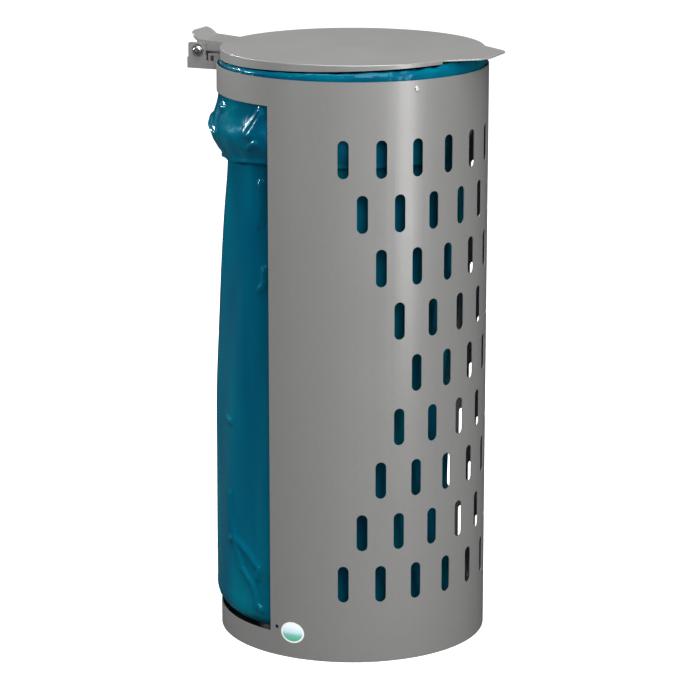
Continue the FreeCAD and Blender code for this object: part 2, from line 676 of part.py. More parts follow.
def drawn_in(angle, height):
    """How deep in a fold the film is here: 0 on a crest, 1 in a valley."""
    uneven = 1.6 * math.sin(2 * angle + 0.7)
    drift = 0.7 * math.sin(3.5 * height / size("mantle_height") + 1.3)
    return (1 - math.cos(fold_count() * angle + uneven + drift)) / 2


def film_ring(height, radius, lean=0, fold_depth=0):
    """A closed wire round the bag at one height, with corners on crests, slopes and valleys."""
    count = CORNERS_PER_FOLD * fold_count()
    corners = []
    for i in range(count):
        angle = 2 * math.pi * i / count
        reach = radius - fold_depth * drawn_in(angle, height)
        corners.append(Vector(reach * math.sin(angle), lean - reach * math.cos(angle), height))
    return Part.makePolygon(corners + corners[:1])


def hanging_rings(rim, levels, inset):
    """Rings from the lip down through the levels; the inner skin is inset and ends higher."""
    tall, wide, depth = size("mantle_height"), size("mantle_radius"), size("fold_depth")
    rings = [film_ring(size("lip_bottom"), rim - inset)]
    for height, radius, lean, fold in levels:
        lift = inset if height == levels[-1][0] else 0
        rings.append(film_ring(tall * height + lift, wide * radius - inset, wide * lean, depth * fold))
    return rings


def lip_rings(radius):
    """Rings half way round the bar of the bag ring, from the bag's side to the cuff's side."""
    rings = []
    for step in range(LIP_STEPS + 1):
        turn = math.pi * (1 - step / LIP_STEPS)
        rings.append(film_ring(size("ring_height") + radius * math.sin(turn),
                               size("ring_radius") + radius * math.cos(turn)))
    return rings


def film_solid():
    """The whole film: its inner skin up from the bottom, over the bar and down the cuff, then back."""
    film = size("film")
    inner_rim = size("ring_radius") - size("lip_inside")
    outer_rim = size("ring_radius") + size("lip_outside")
    rings = (
        hanging_rings(inner_rim, BODY_LEVELS, film)[::-1] + lip_rings(size("lip_outside"))
        + hanging_rings(outer_rim, CUFF_LEVELS, 0) + hanging_rings(outer_rim, CUFF_LEVELS, film)[::-1]
        + lip_rings(size("lip_inside"))[::-1] + hanging_rings(inner_rim, BODY_LEVELS, 0))
    return Part.makeLoft(rings, True, True)


def rest_pocket(side, sign):
    """The room a rest needs in the film behind the ring."""
    width = "(Sizes.rest_width + 2 * Sizes.rest_pocket_side_gap)"
    turn = "%d * Sizes.rest_angle" % sign
    reach = "Sizes.mantle_radius"
    box = doc.addObject("Part::Box", "rest_pocket_" + side)
    box.setExpression("Length", width)
    box.setExpression("Width", "%s - Sizes.rest_wall + Sizes.rest_shelf_reach - Sizes.rest_pocket_end_gap"
                      % reach)
    box.setExpression("Height", "Sizes.rest_leg_height + 2 * Sizes.rest_pocket_side_gap")
    box.Placement = FreeCAD.Placement(Vector(), FreeCAD.Rotation(Vector(0, 0, 1), 1))
    box.setExpression("Placement.Rotation.Angle", turn)
    box.setExpression("Placement.Base.x", "sin(%s) * %s - cos(%s) * %s / 2" % (turn, reach, turn, width))
    box.setExpression("Placement.Base.y", "-cos(%s) * %s - sin(%s) * %s / 2" % (turn, reach, turn, width))
    box.setExpression("Placement.Base.z", "Sizes.shelf_top - Sizes.rest_leg_height - Sizes.rest_pocket_side_gap")
    return box


def hook_pocket(side, start):
    """The room a hook needs where it leaves the ring and crosses the film."""
    near_side = "sqrt(Sizes.ring_radius ^ 2 - Sizes.cheek_outer ^ 2) - Sizes.film_gap"
    box = doc.addObject("Part::Box", "hook_pocket_" + side)
    box.setExpression("Length", "Sizes.bracket_sheet + 2 * Sizes.film_gap")
    box.setExpression("Width", "Sizes.mantle_radius - (%s)" % near_side)
    box.setExpression("Height", "Sizes.lip_outside")
    box.setExpression("Placement.Base.x", start)
    box.setExpression("Placement.Base.y", near_side)
    box.setExpression("Placement.Base.z", "Sizes.ring_height + Sizes.film")
    return box


def make_bag():
    """The film less its pockets, as one plain shape: a document boolean names every facet."""
    pockets = [
        rest_pocket("left", -1), rest_pocket("right", 1),
        hook_pocket("left", "-Sizes.cheek_outer - Sizes.film_gap"),
        hook_pocket("right", "Sizes.cheek_inner - Sizes.film_gap")]
    doc.recompute()
    bag = doc.addObject("Part::Feature", "bag")
    bag.Label = "bag"
    bag.Shape = film_solid().cut([room.Shape for room in pockets])


make_mantle()
make_floor_pan()
make_bag_ring()
for side, sign in (("left", -1), ("right", 1)):
    make_ring_rest(side, sign)
    make_rest_rivet(side, sign)
make_bag()
make_hinge_bracket()
make_hinge_bolt()
make_cap_nut()
make_hinge_rings()
make_lid()
make_lid_arm()
doc.recompute()

# Export: one STEP file for each sub-part, named after its label

NODES = (
    "mantle", "floor_pan", "bag_ring", "ring_rest_left", "ring_rest_right",
    "ring_rest_rivet_left", "ring_rest_rivet_right", "bag", "hinge_bracket",
    "hinge_bolt", "hinge_cap_nut", "hinge_washer_left", "hinge_washer_right",
    "hinge_bush_left", "hinge_bush_right", "hinge_spacer", "lid", "lid_arm",
)

for item in doc.Objects:
    if "Invalid" in item.State or "Error" in item.State:
        raise RuntimeError("%s did not compute: %s" % (item.Label, item.State))

os.makedirs("parts", exist_ok=True)
for node in NODES:
    shape = doc.getObjectsByLabel(node)[0].Shape
    if shape.isNull() or not shape.isValid() or len(shape.Solids) != 1:
        raise RuntimeError("%s is not one sound solid" % node)
    shape.exportStep("parts/%s.step" % node)
    box = shape.BoundBox
    print("%s volume %.1f box %.2f %.2f %.2f to %.2f %.2f %.2f" % (
        node, shape.Volume, box.XMin, box.YMin, box.ZMin, box.XMax, box.YMax, box.ZMax))
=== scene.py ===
import json
import math

import bmesh
import bpy
import numpy as np
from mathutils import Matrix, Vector, noise


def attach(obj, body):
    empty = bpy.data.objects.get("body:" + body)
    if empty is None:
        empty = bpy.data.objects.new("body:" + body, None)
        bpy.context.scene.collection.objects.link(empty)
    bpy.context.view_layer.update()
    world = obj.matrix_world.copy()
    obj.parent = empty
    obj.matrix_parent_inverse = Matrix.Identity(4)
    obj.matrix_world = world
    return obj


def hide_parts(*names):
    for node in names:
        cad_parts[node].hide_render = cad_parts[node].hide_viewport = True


# Looks of a perforated waste bin: coated and plated metal on the CAD nodes, a thin glossy bag
# in place of its plain solid, a blank oval label, and a pale studio. Metres, +Z up.

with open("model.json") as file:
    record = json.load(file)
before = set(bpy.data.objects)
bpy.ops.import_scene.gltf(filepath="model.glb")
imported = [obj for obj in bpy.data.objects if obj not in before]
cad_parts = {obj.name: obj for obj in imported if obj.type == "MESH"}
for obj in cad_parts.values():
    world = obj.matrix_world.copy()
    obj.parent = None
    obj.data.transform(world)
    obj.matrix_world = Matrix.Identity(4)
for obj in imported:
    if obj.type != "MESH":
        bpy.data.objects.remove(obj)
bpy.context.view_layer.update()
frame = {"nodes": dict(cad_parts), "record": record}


# Node materials

CRUMPLE_RIDGE = 0.11
FILM_LIGHT_SHARE = 0.25


def new_material(name):
    """A material with nothing in it but a shader and an output."""
    material = bpy.data.materials.new(name)
    material.use_nodes = True
    tree = material.node_tree
    tree.nodes.clear()
    shader = tree.nodes.new("ShaderNodeBsdfPrincipled")
    output = tree.nodes.new("ShaderNodeOutputMaterial")
    tree.links.new(shader.outputs["BSDF"], output.inputs["Surface"])
    return material, tree, shader


def noise_node(tree, scale, detail=3.0, roughness=0.5, stretch=(1, 1, 1)):
    """Noise in object space, where one unit is a metre."""
    place = tree.nodes.new("ShaderNodeTexCoord")
    mapping = tree.nodes.new("ShaderNodeMapping")
    mapping.inputs["Scale"].default_value = stretch
    texture = tree.nodes.new("ShaderNodeTexNoise")
    texture.inputs["Scale"].default_value = scale
    texture.inputs["Detail"].default_value = detail
    texture.inputs["Roughness"].default_value = roughness
    tree.links.new(place.outputs["Object"], mapping.inputs["Vector"])
    tree.links.new(mapping.outputs["Vector"], texture.inputs["Vector"])
    return texture


def ramp_node(tree, source, stops):
    """A colour ramp; each stop is a place and a grey value or a colour."""
    ramp = tree.nodes.new("ShaderNodeValToRGB")
    elements = ramp.color_ramp.elements
    while len(elements) < len(stops):
        elements.new(0.5)
    for element, (place, value) in zip(elements, stops):
        element.position = place
        element.color = (value, value, value, 1) if isinstance(value, float) else (*value, 1)
    tree.links.new(source, ramp.inputs["Fac"])
    return ramp


def bump_node(tree, height, strength, distance):
    """Bump from a height between 0 and 1; the distance is in metres."""
    bump = tree.nodes.new("ShaderNodeBump")
    bump.inputs["Strength"].default_value = strength
    bump.inputs["Distance"].default_value = distance
    tree.links.new(height, bump.inputs["Height"])
    return bump


def powder_coat():
    """Grey powder coat: fine sparkle in the colour, orange peel in the surface."""
    material, tree, shader = new_material("powder_coat_grey")
    grain = noise_node(tree, 1400, detail=1)
    colour = ramp_node(tree, grain.outputs["Fac"], [
        (0.30, (0.205, 0.203, 0.200)), (0.55, (0.232, 0.230, 0.227)), (0.80, (0.275, 0.272, 0.268))])
    peel = noise_node(tree, 900, detail=2)
    bump = bump_node(tree, peel.outputs["Fac"], strength=0.12, distance=0.0002)
    cloud = noise_node(tree, 9, detail=4)
    rough = ramp_node(tree, cloud.outputs["Fac"], [(0.3, 0.32), (0.7, 0.38)])
    tree.links.new(colour.outputs["Color"], shader.inputs["Base Color"])
    tree.links.new(rough.outputs["Color"], shader.inputs["Roughness"])
    tree.links.new(bump.outputs["Normal"], shader.inputs["Normal"])
    shader.inputs["Metallic"].default_value = 0.25
    shader.inputs["Specular IOR Level"].default_value = 0.55
    return material


def plated_steel():
    """Bright zinc: brushed streaks and a slight mottle in the gloss."""
    material, tree, shader = new_material("bright_zinc")
    streak = noise_node(tree, 700, detail=2, stretch=(1, 6, 6))
    colour = ramp_node(tree, streak.outputs["Fac"], [
        (0.3, (0.42, 0.42, 0.43)), (0.7, (0.56, 0.56, 0.56))])
    rough = ramp_node(tree, streak.outputs["Fac"], [(0.3, 0.20), (0.7, 0.34)])
    bump = bump_node(tree, streak.outputs["Fac"], strength=0.1, distance=0.0001)
    tree.links.new(colour.outputs["Color"], shader.inputs["Base Color"])
    tree.links.new(rough.outputs["Color"], shader.inputs["Roughness"])
    tree.links.new(bump.outputs["Normal"], shader.inputs["Normal"])
    shader.inputs["Metallic"].default_value = 1.0
    return material


def nylon():
    """Plain natural nylon, slightly uneven."""
    material, tree, shader = new_material("natural_nylon")
    cloud = noise_node(tree, 260, detail=3)
    colour = ramp_node(tree, cloud.outputs["Fac"], [
        (0.3, (0.60, 0.59, 0.55)), (0.7, (0.70, 0.69, 0.65))])
    bump = bump_node(tree, cloud.outputs["Fac"], strength=0.1, distance=0.0001)
    tree.links.new(colour.outputs["Color"], shader.inputs["Base Color"])
    tree.links.new(bump.outputs["Normal"], shader.inputs["Normal"])
    shader.inputs["Roughness"].default_value = 0.45
    return material


def crumple(tree):
    """Sharp ridges where film is squeezed: near the foot of the bag and from the cuff up."""
    ridges = noise_node(tree, 26, detail=3, roughness=0.55, stretch=(1, 1, 0.6))
    fold = tree.nodes.new("ShaderNodeMath")
    fold.operation = "PINGPONG"
    fold.inputs[1].default_value = CRUMPLE_RIDGE
    tree.links.new(ridges.outputs["Fac"], fold.inputs[0])
    place = tree.nodes.new("ShaderNodeTexCoord")
    split = tree.nodes.new("ShaderNodeSeparateXYZ")
    tree.links.new(place.outputs["Object"], split.inputs["Vector"])
    where = ramp_node(tree, split.outputs["Z"], [
        (0.0, 1.0), (0.15, 1.0), (0.28, 0.18), (0.68, 0.14), (0.72, 0.8), (0.84, 1.0)])
    height = tree.nodes.new("ShaderNodeMath")
    height.operation = "MULTIPLY"
    tree.links.new(fold.outputs["Value"], height.inputs[0])
    tree.links.new(where.outputs["Color"], height.inputs[1])
    return height.outputs["Value"]


def bag_film():
    """Blue-green polythene: glossy, a little light comes through, fine creases catch glints."""
    material, tree, shader = new_material("bag_film")
    cloud = noise_node(tree, 7, detail=3, stretch=(1, 1, 0.25))
    colour = ramp_node(tree, cloud.outputs["Fac"], [
        (0.30, (0.000, 0.066, 0.140)), (0.52, (0.000, 0.120, 0.195)), (0.70, (0.000, 0.190, 0.230))])
    crease = noise_node(tree, 20, detail=3, roughness=0.5, stretch=(1, 1, 0.35))
    soft = bump_node(tree, crease.outputs["Fac"], strength=0.30, distance=0.010)
    bump = bump_node(tree, crumple(tree), strength=0.8, distance=0.004)
    tree.links.new(soft.outputs["Normal"], bump.inputs["Normal"])
    tree.links.new(colour.outputs["Color"], shader.inputs["Base Color"])
    tree.links.new(bump.outputs["Normal"], shader.inputs["Normal"])
    shader.inputs["Roughness"].default_value = 0.15
    shader.inputs["Specular IOR Level"].default_value = 0.35
    shader.inputs["Specular Tint"].default_value = (0.35, 0.85, 1.0, 1)
    light = tree.nodes.new("ShaderNodeBsdfTranslucent")
    light.inputs["Color"].default_value = (0.004, 0.19, 0.24, 1)
    tree.links.new(bump.outputs["Normal"], light.inputs["Normal"])
    mix = tree.nodes.new("ShaderNodeMixShader")
    mix.inputs["Fac"].default_value = FILM_LIGHT_SHARE
    output = next(node for node in tree.nodes if node.type == "OUTPUT_MATERIAL")
    tree.links.new(shader.outputs["BSDF"], mix.inputs[1])
    tree.links.new(light.outputs["BSDF"], mix.inputs[2])
    tree.links.new(mix.outputs["Shader"], output.inputs["Surface"])
    return material


FINISHES = {
    "powder_coat": powder_coat(), "plated_steel": plated_steel(),
    "nylon": nylon(), "film": bag_film(),
}
SLOT_OF = {part["node"]: part["material_slot"] for part in frame["record"]["subparts"]}

for node, thing in frame["nodes"].items():
    thing.data.materials.clear()
    thing.data.materials.append(FINISHES[SLOT_OF[node]])


# Bag

# The bar ring's middle line, and the film that passes over the bar
RING_RADIUS = 0.1905
RING_HEIGHT = 0.859
LIP_RADIUS = 0.0056

# What the film has to stay clear of: the mantle, the lid and the lid's skirt
MANTLE_INSIDE = 0.199
MANTLE_CLEARANCE = 0.0006
LID_UNDERSIDE = 0.881
SKIRT_AT_BACK = 0.866
SKIRT_AT_FRONT = 0.8785
SKIRT_END_ANGLE = math.radians(27)
LID_CLEARANCE = 0.0012

# The window, where the film may bulge past the mantle; its edge is measured from the front
WINDOW_SILL = 0.035
WINDOW_TOP = 0.820
WINDOW_TOP_MARGIN = 0.001
WINDOW_EDGE = math.radians(105.2)

# Height, radius and lean of the centre towards the window, from the floor up and then down the cuff
BODY = [
    (0.026, 0.060, 0.006), (0.0265, 0.110, 0.007), (0.028, 0.150, 0.008), (0.031, 0.174, 0.010),
    (0.036, 0.1800, 0.0150), (0.043, 0.183, 0.020), (0.054, 0.1825, 0.0255), (0.077, 0.180, 0.0290),
    (0.146, 0.178, 0.0315), (0.258, 0.178, 0.0315),
    (0.380, 0.1795, 0.0290), (0.465, 0.181, 0.0240), (0.573, 0.182, 0.0175), (0.650, 0.181, 0.0125),
    (0.696, 0.179, 0.010), (0.745, 0.1775, 0.009), (0.820, 0.1825, 0.001), (0.850, 0.1849, 0.0)]
CUFF_TOP = 0.850
CUFF = [
    (CUFF_TOP, 0.1961, 0.0), (0.820, 0.1960, 0.002), (0.800, 0.1952, 0.007), (0.780, 0.1955, 0.0135),
    (0.762, 0.1950, 0.0175), (0.746, 0.1915, 0.0165), (0.732, 0.1865, 0.0135), (0.7235, 0.1835, 0.0115),
    (0.721, 0.1840, 0.0117), (0.7185, 0.1830, 0.0113)]

# Rows and columns of the film's mesh; the columns are closer together from this angle to the back
BODY_ROWS = 248
LIP_ROWS = 22
CUFF_ROWS = 60
FRONT_COLUMNS = 90
WINDOW_COLUMNS = 206
FINE_FROM = math.radians(98)

# Folds of the hanging film: how many, how deep, and between which heights they come and go
LONG_FOLDS = 15
LONG_FOLD_DEPTH = 0.0060
SHORT_FOLDS = 37
SHORT_FOLD_DEPTH = 0.0006
SLACK_DEPTH = 0.004
FOLDS_BEGIN = (0.86, 0.72)
FOLDS_WEAKEN = (0.03, 0.25)
FOLD_SHARE_AT_FOOT = 0.35
FOLD_SHARE_LOST_IN_WINDOW = 0.45
FOLDED_RADIUS = 0.17

# The cuff: its swells and dents, where it comes loose, and the share of its length that hangs
CUFF_SWELL = 0.0045
CUFF_DENT = 0.005
CUFF_LOOSE = (0.83, 0.79)
CUFF_SHARE_AT_BACK = 0.99
CUFF_SHARE_LOST = 0.10

# The lip over the bar: how far slack film puffs up, leans out and wrinkles under the lid
PUFF_SHARE = 0.80
PUFF_WRINKLE = 0.14
PUFF_BEGINS = (0.04, 0.25)
LIP_FULLNESS = 0.8
LIP_LEAN = 0.0016
LIP_WRINKLE = 0.0012

# Pockets past the two hooks at the back and past the two rests of the ring
HOOK_SIDES = (0.0335, 0.0375)
HOOK_POCKET_BACK = 0.1866
HOOK_POCKET_BOTTOM = 0.8595
REST_ANGLE = math.radians(40)
REST_POCKET_HALF_WIDTH = 0.0115
REST_POCKET_INSIDE = 0.1859
REST_POCKET_HEIGHTS = (0.838, 0.855)

# Creases that catch the light: runs of angle in degrees and height, as they show in the window
BODY_CREASES = (
    ((-127.5, 0.222), (-126.5, 0.190), (-123, 0.156), (-112.5, 0.136), (-105.5, 0.119), (-107, 0.104)),
    ((-127.5, 0.150), (-123, 0.156), (-117.5, 0.112), (-110, 0.092), (-107, 0.062), (-105, 0.058)),
    ((-112.5, 0.136), (-109, 0.124), (-105.5, 0.119)),
    ((-112, 0.70), (-110.5, 0.665), (-111, 0.64)),
    ((-107, 0.575), (-106, 0.555), (-108.5, 0.545)),
    ((-131, 0.337), (-126, 0.334)),
)
CUFF_CREASES = (
    ((-108, 0.806), (-111, 0.787), (-113, 0.768), (-111, 0.762)),
    ((-106.5, 0.800), (-108.5, 0.780), (-110, 0.766)),
    ((-107, 0.752), (-113, 0.742)),
    ((-140, 0.806), (-136, 0.800)),
    ((-160, 0.778), (-151, 0.773), (-142, 0.758)),
)
CREASE_HEIGHT = 0.0046
CREASE_WIDTH = 0.0046


def smooth_rows(levels, count):
    """Rows evenly spaced along a smooth line through the levels."""
    levels = np.array(levels)
    steps = np.r_[0, np.cumsum(np.hypot(np.diff(levels[:, 0]), np.diff(levels[:, 1])))]
    slopes = np.gradient(levels, steps, axis=0)
    rows = []
    for at in np.linspace(0, steps[-1], count):
        k = min(np.searchsorted(steps, at, side="right") - 1, len(steps) - 2)
        gap = steps[k + 1] - steps[k]
        t = (at - steps[k]) / gap
        rows.append((2 * t ** 3 - 3 * t ** 2 + 1) * levels[k]
                    + (t ** 3 - 2 * t ** 2 + t) * gap * slopes[k]
                    + (3 * t ** 2 - 2 * t ** 3) * levels[k + 1]
                    + (t ** 3 - t ** 2) * gap * slopes[k + 1])
    return rows


def fade(value, low, high):
    """A smooth step from 0 at low to 1 at high, where high may be the smaller one."""
    t = min(max((value - low) / (high - low), 0), 1)
    return t * t * (3 - 2 * t)


def fold_depth(angle, height):
    """How far the hanging film is drawn in: soft folds that start under the rim, flatter in the window."""
    drift = 0.35 * math.sin(4.1 * height + 1.3) + 0.25 * math.sin(9.7 * height)
    long_turn = LONG_FOLDS * angle + 1.6 * math.sin(2 * angle + 0.7) + drift * 2
    short_turn = SHORT_FOLDS * angle + 2.2 * math.sin(3 * angle) - drift * 5
    long_fold = 0.5 - 0.5 * math.cos(long_turn)
    short_fold = 0.5 - 0.5 * math.cos(short_turn)
    point = Vector((math.cos(angle) * 2.4, math.sin(angle) * 2.4, height * 2.2))
    slack = 0.5 + 0.5 * noise.noise(point)
    at_foot = FOLD_SHARE_AT_FOOT + (1 - FOLD_SHARE_AT_FOOT) * fade(height, *FOLDS_WEAKEN)
    amount = fade(height, *FOLDS_BEGIN) * at_foot
    amount *= 1 - FOLD_SHARE_LOST_IN_WINDOW * fade(-math.cos(angle), 0.2, 0.7)
    return amount * (LONG_FOLD_DEPTH * long_fold + SHORT_FOLD_DEPTH * short_fold + SLACK_DEPTH * slack)


def crease_lift(angle, height, creases):
    """The height of the nearest crease's ridge at this place."""
    turned = math.degrees(math.remainder(angle, 2 * math.pi))
    arc = math.radians(1) * RING_RADIUS
    nearest = 1.0
    for crease in creases:
        for (a0, z0), (a1, z1) in zip(crease, crease[1:]):
            run = Vector(((a1 - a0) * arc, z1 - z0))
            away = Vector(((turned - a0) * arc, height - z0))
            share = min(max(away.dot(run) / run.length_squared, 0), 1)
            nearest = min(nearest, (away - share * run).length)
    return CREASE_HEIGHT * math.exp(-(nearest / CREASE_WIDTH) ** 2)


def cuff_shape(angle, height):
    """How far the cuff moves in or out: a few flat crumpled faces with creases between."""
    point = Vector((math.cos(angle) * 2.6, math.sin(angle) * 2.6, height * 9))
    coarse = noise.noise(point * 1.2)
    sharp = abs(noise.noise(point * 2.2 + Vector((7, 1, 3))))
    amount = fade(height, *CUFF_LOOSE)
    return amount * (CUFF_SWELL * coarse - CUFF_DENT * sharp) + crease_lift(angle, height, CUFF_CREASES)


def cuff_length(angle):
    """Share of its full length that the cuff hangs down; shorter towards the front."""
    return CUFF_SHARE_AT_BACK - CUFF_SHARE_LOST * fade(math.cos(angle), -1, -0.2)


def columns():
    """Angles round the bag, closer together in the window."""
    front = np.linspace(-FINE_FROM, FINE_FROM, FRONT_COLUMNS, endpoint=False)
    back = np.linspace(FINE_FROM, 2 * math.pi - FINE_FROM, WINDOW_COLUMNS, endpoint=False)
    return np.concatenate([front, back])


def skirt_bottom(angle):
    """Height of the lower edge of the lid's skirt, which slants from the hinge to the tab."""
    share = (1 + math.cos(angle)) / 2
    if abs(math.remainder(angle, 2 * math.pi)) < SKIRT_END_ANGLE:
        return LID_UNDERSIDE
    return SKIRT_AT_BACK + (SKIRT_AT_FRONT - SKIRT_AT_BACK) * share


def lip_position(angle, turn):
    """A point where the film passes over the bar; slack film puffs up towards the lid's skirt."""
    around = Vector((math.cos(angle) * 9, math.sin(angle) * 9, turn * 0.7))
    wrinkle = noise.noise(around) + 0.6 * noise.noise(around * 2.7) + 0.5 * noise.noise(around * 6.5)
    room = skirt_bottom(angle) - LID_CLEARANCE - (RING_HEIGHT + LIP_RADIUS)
    puff = fade(1 + math.cos(angle), *PUFF_BEGINS) * max(room, 0) * (PUFF_SHARE + PUFF_WRINKLE * wrinkle)
    outward = 0.5 + 0.5 * math.cos(turn)
    radius = RING_RADIUS + LIP_RADIUS * math.cos(turn) + LIP_LEAN * outward * math.sin(turn)
    height = RING_HEIGHT + (LIP_RADIUS + puff) * math.sin(turn) ** LIP_FULLNESS
    radius += LIP_WRINKLE * wrinkle * math.sin(turn)
    return radius * math.sin(angle), -radius * math.cos(angle), height


def film_position(angle, height, radius, lean, push):
    """A point of the film; angle 0 faces the front and grows towards +X."""
    radius += push
    x = radius * math.sin(angle)
    y = lean - radius * math.cos(angle)
    reach = math.hypot(x, y)
    beside_mantle = abs(math.atan2(x, -y)) <= WINDOW_EDGE
    above_or_below = not WINDOW_SILL < height < WINDOW_TOP - WINDOW_TOP_MARGIN
    limit = MANTLE_INSIDE - MANTLE_CLEARANCE
    if (beside_mantle or above_or_below) and reach > limit:
        x, y = x * limit / reach, y * limit / reach
    return x, y, height


def in_pocket(point):
    """Where a rest or a hook goes past the film."""
    if point.y > 0:
        beside_hook = HOOK_SIDES[0] < abs(point.x) < HOOK_SIDES[1]
        return beside_hook and point.y > HOOK_POCKET_BACK and point.z > HOOK_POCKET_BOTTOM
    bottom, top = REST_POCKET_HEIGHTS
    for side in (-1, 1):
        across = Vector((math.cos(side * REST_ANGLE), math.sin(side * REST_ANGLE), 0))
        outward = Vector((math.sin(side * REST_ANGLE), -math.cos(side * REST_ANGLE), 0))
        beside_rest = abs(point.dot(across)) < REST_POCKET_HALF_WIDTH
        if beside_rest and point.dot(outward) > REST_POCKET_INSIDE and bottom < point.z < top:
            return True
    return False


def add_object(name, mesh):
    """A new object in the scene with this mesh."""
    thing = bpy.data.objects.new(name, mesh)
    bpy.context.scene.collection.objects.link(thing)
    return thing


def make_bag():
    """The film as one sheet: up from the foot, over the bar, and down as the cuff."""
    angles = columns()
    count = len(angles)
    rows = []
    for height, radius, lean in smooth_rows(BODY, BODY_ROWS):
        share = min(1, radius / FOLDED_RADIUS)
        rows.append([film_position(a, height, radius, lean, crease_lift(a, height, BODY_CREASES)
                                   - share * fold_depth(a, height)) for a in angles])
    for turn in np.linspace(math.pi, 0, LIP_ROWS):
        rows.append([lip_position(a, turn) for a in angles])
    for height, radius, lean in smooth_rows(CUFF, CUFF_ROWS):
        rows.append([film_position(a, CUFF_TOP - (CUFF_TOP - height) * cuff_length(a), radius, lean,
                                   cuff_shape(a, height)) for a in angles])
    points = [point for row in rows for point in row]
    faces = []
    for i in range(len(rows) - 1):
        for j in range(count):
            k = (j + 1) % count
            faces.append((i * count + j, i * count + k, (i + 1) * count + k, (i + 1) * count + j))
    faces.append(tuple(range(count))[::-1])
    mesh = bpy.data.meshes.new("bag_film")
    mesh.from_pydata(points, [], faces)
    shape = bmesh.new()
    shape.from_mesh(mesh)
    pockets = [face for face in shape.faces if in_pocket(face.calc_center_median())]
    bmesh.ops.delete(shape, geom=pockets, context="FACES")
    for face in shape.faces:
        face.smooth = True
    shape.to_mesh(mesh)
    shape.free()
    mesh.materials.append(FINISHES["film"])
    return add_object("bag_film", mesh)


bag = make_bag()
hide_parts("bag")
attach(bag, "bin")


# Label: a blank oval sticker near the foot

MANTLE_RADIUS = 0.200
LABEL_ANGLE = math.radians(-93.3)
LABEL_HEIGHT = 0.039
LABEL_POINTS = 64
LABEL_RINGS = (0.0, 0.35, 0.7, 0.92, 1.0)
LABEL_EDGE_DROP = 0.00008


def label_material():
    """Pale at the top and green at the bottom, with nothing on it."""
    material, tree, shader = new_material("blank_label")
    place = tree.nodes.new("ShaderNodeTexCoord")
    split = tree.nodes.new("ShaderNodeSeparateXYZ")
    tree.links.new(place.outputs["Generated"], split.inputs["Vector"])
    ramp = ramp_node(tree, split.outputs["Z"], [
        (0.10, (0.10, 0.42, 0.26)), (0.34, (0.16, 0.50, 0.40)), (0.52, (0.55, 0.74, 0.80)),
        (0.80, (0.80, 0.88, 0.92))])
    grain = noise_node(tree, 900, detail=1)
    bump = bump_node(tree, grain.outputs["Fac"], strength=0.05, distance=0.0001)
    tree.links.new(ramp.outputs["Color"], shader.inputs["Base Color"])
    tree.links.new(bump.outputs["Normal"], shader.inputs["Normal"])
    shader.inputs["Roughness"].default_value = 0.3
    return material


def label_border_material():
    """The pale rim of the sticker."""
    material, tree, shader = new_material("label_border")
    grain = noise_node(tree, 900, detail=1)
    colour = ramp_node(tree, grain.outputs["Fac"], [
        (0.3, (0.80, 0.81, 0.82)), (0.7, (0.86, 0.87, 0.87))])
    tree.links.new(colour.outputs["Color"], shader.inputs["Base Color"])
    shader.inputs["Roughness"].default_value = 0.3
    return material


def make_label(name, half_width, half_height, stand_off, material):
    """An oval that follows the mantle, on the left side as seen from the front, near the foot."""
    shape = bmesh.new()
    rings = []
    for share in LABEL_RINGS:
        ring = []
        drop = LABEL_EDGE_DROP if share == 1.0 else 0
        radius = MANTLE_RADIUS + stand_off - drop
        for i in range(LABEL_POINTS if share else 1):
            turn = 2 * math.pi * i / LABEL_POINTS
            a = LABEL_ANGLE + share * half_width * math.cos(turn) / MANTLE_RADIUS
            height = LABEL_HEIGHT + share * half_height * math.sin(turn)
            ring.append(shape.verts.new((radius * math.sin(a), -radius * math.cos(a), height)))
        rings.append(ring)
    for i in range(LABEL_POINTS):
        j = (i + 1) % LABEL_POINTS
        shape.faces.new((rings[0][0], rings[1][i], rings[1][j]))
        for inner, outer in zip(rings[1:], rings[2:]):
            shape.faces.new((inner[i], outer[i], outer[j], inner[j]))
    for face in shape.faces:
        face.smooth = True
    mesh = bpy.data.meshes.new(name)
    shape.to_mesh(mesh)
    shape.free()
    mesh.materials.append(material)
    piece = add_object(name, mesh)
    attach(piece, "bin")


make_label("label_border", 0.0190, 0.0160, 0.00012, label_border_material())
make_label("label_face", 0.0165, 0.0135, 0.00024, label_material())


# Studio

# The floor's own brightness: to the camera, in the light that it throws back, and in reflections
FLOOR_SEEN = 0.86
FLOOR_BOUNCE = 0.30
FLOOR_IN_GLOSS = 0.03

# How much light the camera's view of the floor gets on top, so that it runs into the white:
# from and to these distances in metres, and how much there
FLOOR_LIFT = (0.3, 2.5, 0.45, 0.97)
FLOOR_HALF = 30
FLOOR_DROP = 0.0005

# The light from all round, and how much of it shows in reflections
AMBIENT = 0.08
REFLECTED = 0.06
BACKGROUND = 1.0

# Soft boxes that face the middle of the bin: azimuth from the front and elevation in degrees,
# distance, width and height in metres, and watts
LAMP_TARGET = Vector((0, 0, 0.45))
LAMPS = {
    "strip": (-23.6, 8, 1.7, 0.20, 1.0, 8),
    "front": (-50, 32, 7.0, 4.0, 4.4, 500),
    "top": (-60, 82, 3.0, 2.2, 2.2, 140),
    "glint": (-165, 20, 3.0, 0.16, 0.16, 26),
    "glint_far": (-186, 16, 3.0, 0.25, 0.25, 50),
    "glint_side": (-115, 14, 3.0, 0.08, 0.08, 5),
}

CAMERA_PLACE = Vector((-3.99425, -1.69813, 1.51022))
CAMERA_AIM = Vector((-0.00575, 0.00507, 0.42769))
CAMERA_LENS = 154.1
CAMERA_SENSOR = 36


